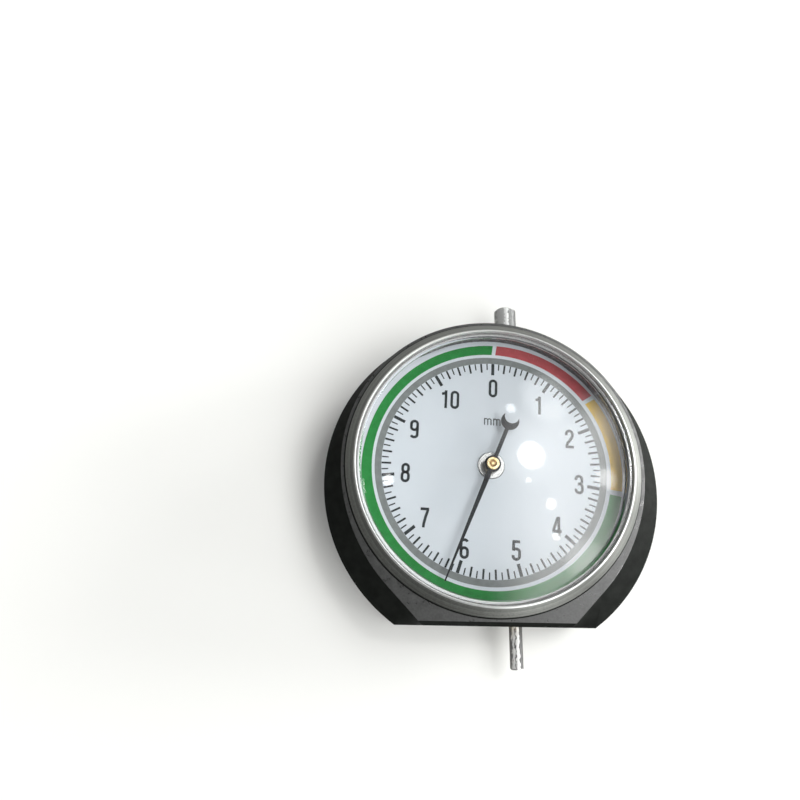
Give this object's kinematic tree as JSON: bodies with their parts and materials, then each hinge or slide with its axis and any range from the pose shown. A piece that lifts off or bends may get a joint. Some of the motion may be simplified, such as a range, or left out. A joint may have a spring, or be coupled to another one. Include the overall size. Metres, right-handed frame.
{
  "type": "dial tyre tread depth gauge",
  "caption": "Dial depth gauge with a flat measuring base, a sliding pin driven by a stem, and a pointer turned through a rack and pinion over a banded millimetre scale.",
  "frame": {"origin": "on the dial's axis, at the flat back", "axes": "+Z out of the dial, +Y along the plunger towards the push rod, +X to the right of the dial"},
  "size_m": [0.0524, 0.0592, 0.0149],
  "materials": {
    "case_plastic": "fine textured black moulding",
    "bezel_metal": "turned, bright rim and satin slope",
    "clear_lens": "clear acrylic, polished",
    "spacer_metal": "polished inside",
    "dial_enamel": "satin white with printed scale",
    "pointer_black": "satin black",
    "nickel_boss": "nickel plated",
    "brass": "turned brass",
    "steel": "machined",
    "bright_steel": "ground bright",
    "spring_steel": "rolled strip",
    "dark_screws": "blackened"
  },
  "bodies": {
    "case": {"housing": "case_plastic", "back_cover": "case_plastic", "cover_screws": "dark_screws", "bezel_ring": "bezel_metal", "lens": "clear_lens", "lens_spacer": "spacer_metal", "dial_plate": "dial_enamel", "front_bush": "nickel_boss", "rear_bush": "brass", "thrust_washer": "steel", "bridge_plate": "brass", "bridge_pillars": "brass", "bridge_screws": "steel", "upper_bush": "brass", "lower_bush": "brass", "friction_spring": "spring_steel", "spring_screw": "steel"},
    "plunger": {"rack_bar": "steel", "push_rod": "bright_steel", "measuring_pin": "bright_steel", "rack_pins": "steel"},
    "spindle": {"arbor": "steel", "pinion": "brass", "pointer": "pointer_black", "pointer_boss": "brass"}
  },
  "joints": [
    {"name": "plunger_slide", "type": "slide", "parent": "case", "child": "plunger", "axis": [0, -1, 0], "range_m": [-0.00613, 0.00487]},
    {"name": "pointer_spin", "type": "hinge", "parent": "case", "child": "spindle", "pos_m": [0, 0, 0.0083], "axis": [0, 0, 1], "range_deg": [-159.5, 200.7]}
  ],
  "couplings": [
    {"joint": "pointer_spin", "follows": "plunger_slide", "rad_per_m": -571.2}
  ]
}
